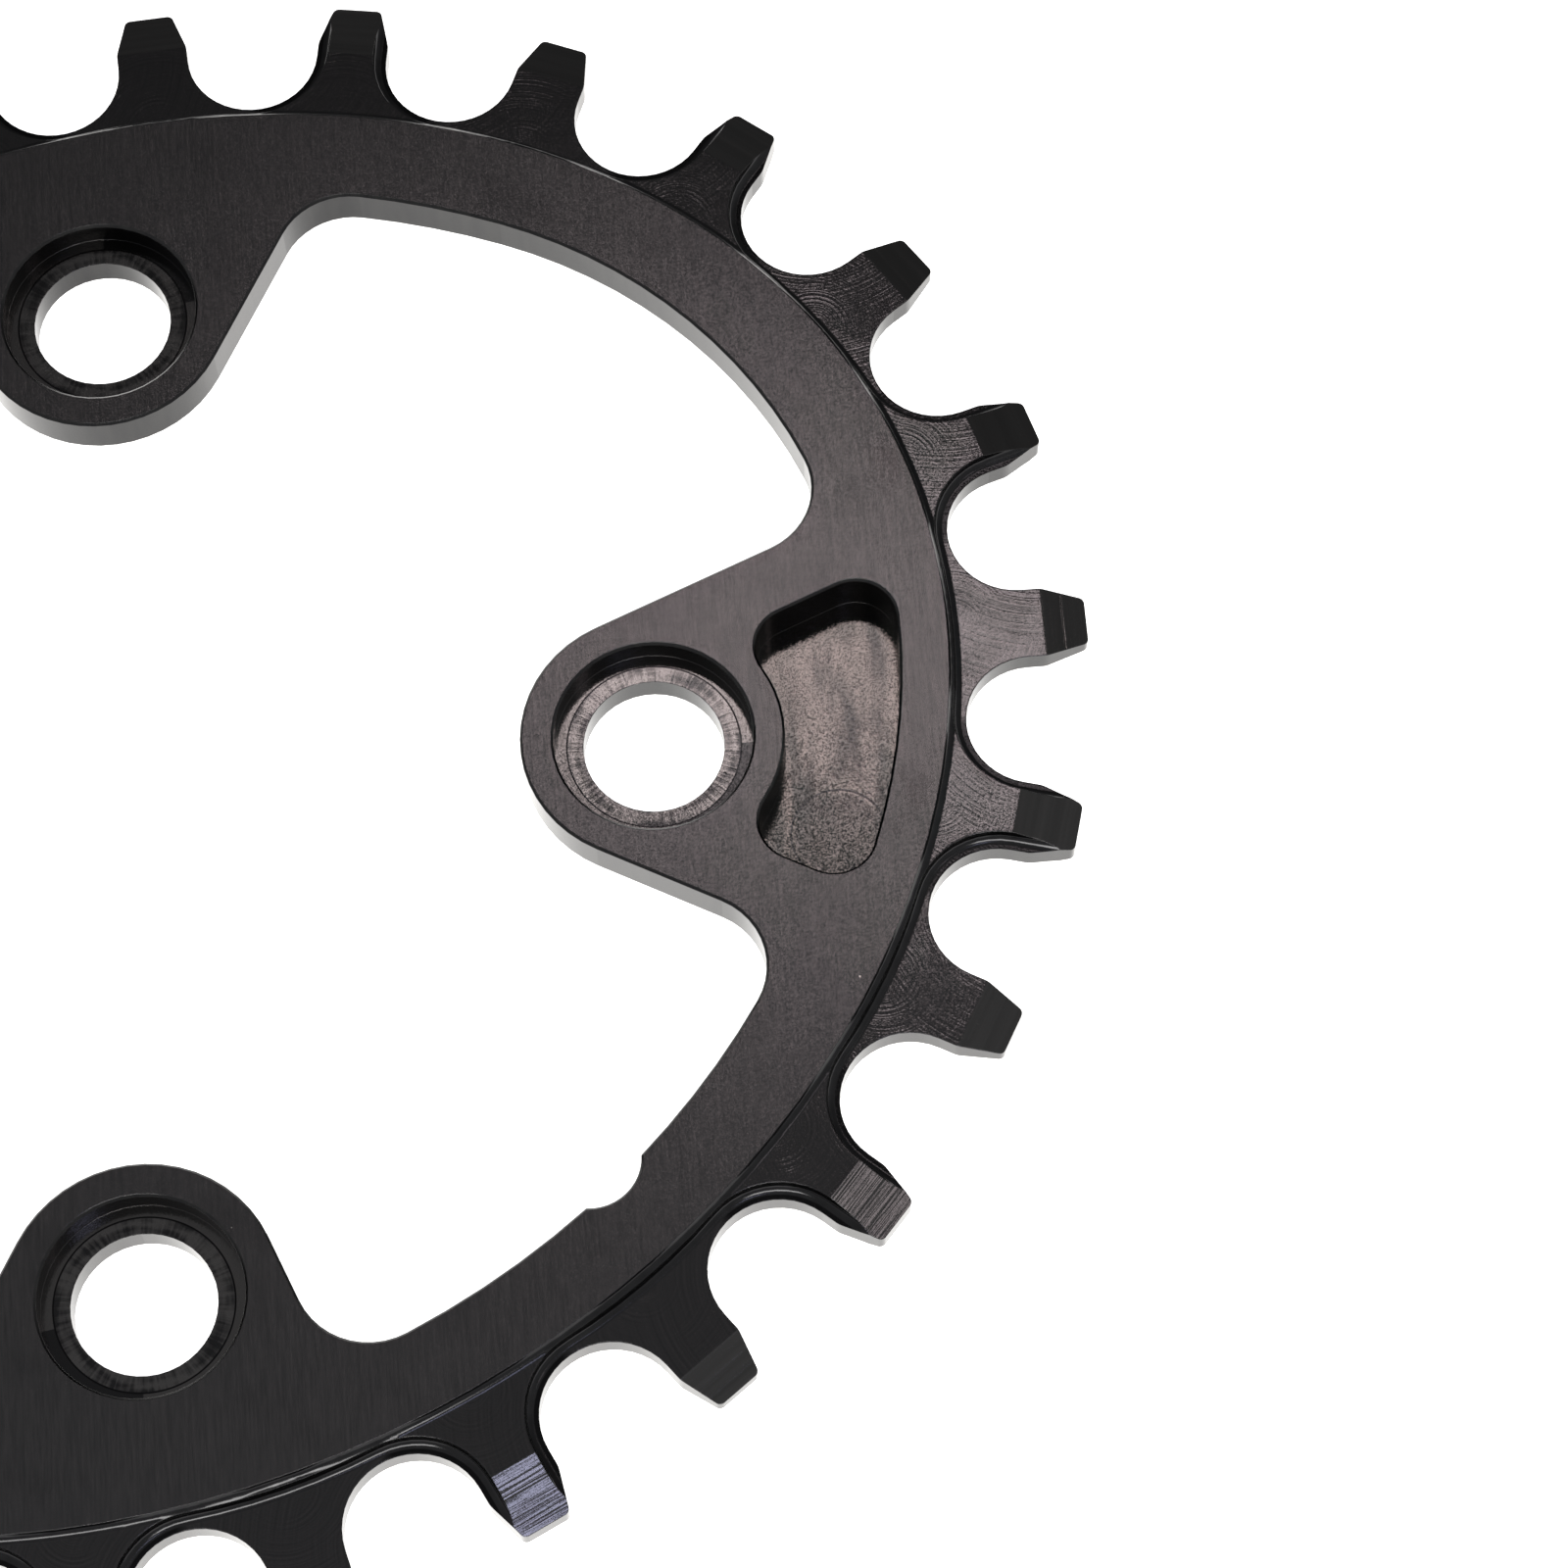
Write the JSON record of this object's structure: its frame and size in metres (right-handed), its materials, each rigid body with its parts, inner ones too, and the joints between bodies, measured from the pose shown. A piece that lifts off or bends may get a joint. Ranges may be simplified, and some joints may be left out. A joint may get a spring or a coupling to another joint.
{
  "type": "bicycle chainring",
  "caption": "Oval narrow-wide chainring with inward bolt tabs, counterbored on the front, which drives a half-inch pitch bicycle chain from a crank.",
  "frame": {"origin": "centre of the bolt circle, on the flat back face that seats on the crank", "axes": "+Z out of the counterbored front face, +X from the centre towards one bolt"},
  "size_m": [0.1176, 0.1076, 0.0036],
  "materials": {
    "anodised_aluminium": "machined and anodised black, satin"
  },
  "bodies": {
    "root": {"chainring": "anodised_aluminium"}
  },
  "joints": []
}
